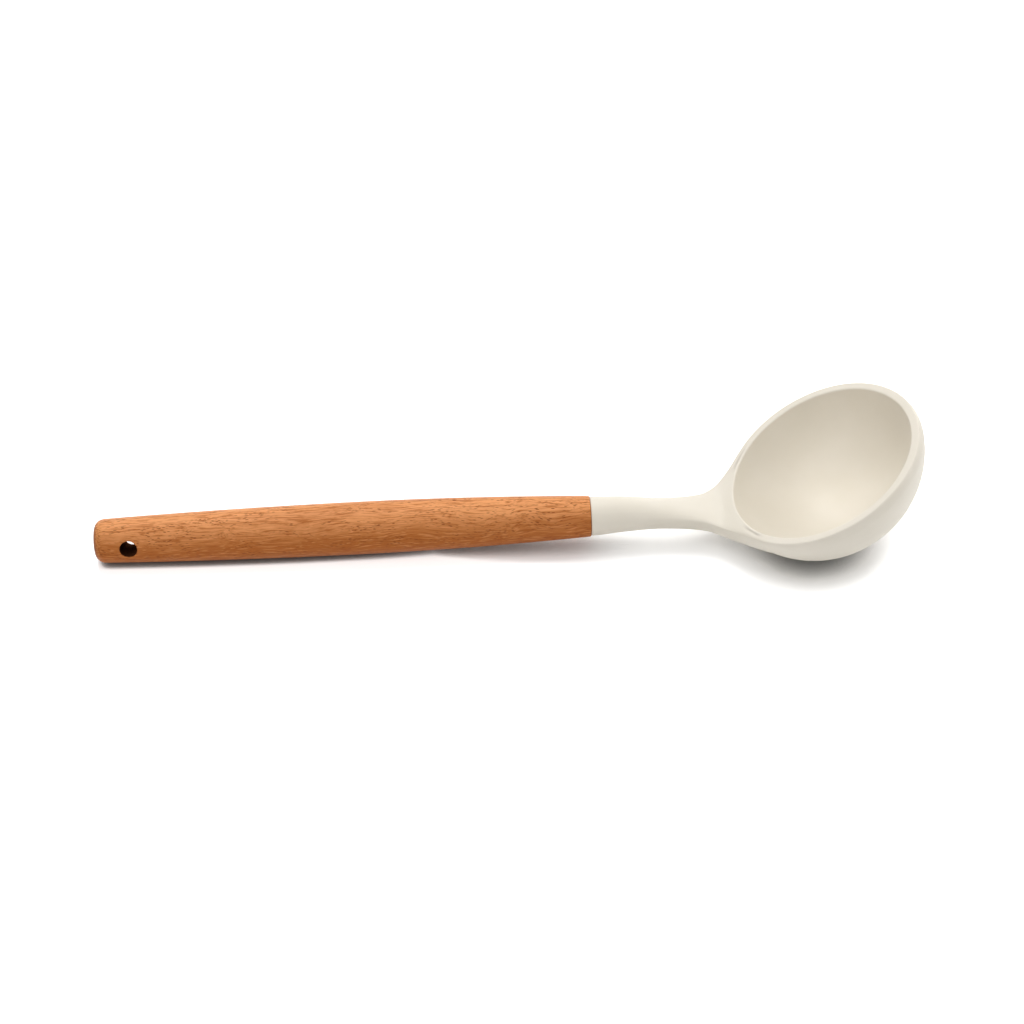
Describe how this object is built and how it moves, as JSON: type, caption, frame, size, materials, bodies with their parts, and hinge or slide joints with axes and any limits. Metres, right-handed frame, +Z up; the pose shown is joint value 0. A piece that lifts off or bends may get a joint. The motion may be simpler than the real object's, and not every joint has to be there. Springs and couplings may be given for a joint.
{
  "type": "soup ladle",
  "caption": "Soup ladle with a deep round silicone bowl, a fishtail neck moulded over a stiff core, and a turned wooden handle with a hanging hole.",
  "frame": {"origin": "on the table under the middle of the ladle's length, as it lies at rest on its bowl and handle", "axes": "+X from the handle towards the bowl, +Y to the ladle's left, +Z up"},
  "size_m": [0.331, 0.0846, 0.0572],
  "materials": {
    "wood": "oiled satin hardwood with fine lengthwise pores",
    "silicone": "matte moulded silicone",
    "nylon": "matte moulded nylon",
    "epoxy": "cured clear amber glue"
  },
  "bodies": {
    "root": {"wooden_handle": "wood", "silicone_head": "silicone", "nylon_core": "nylon", "glue_bond": "epoxy"}
  },
  "joints": []
}
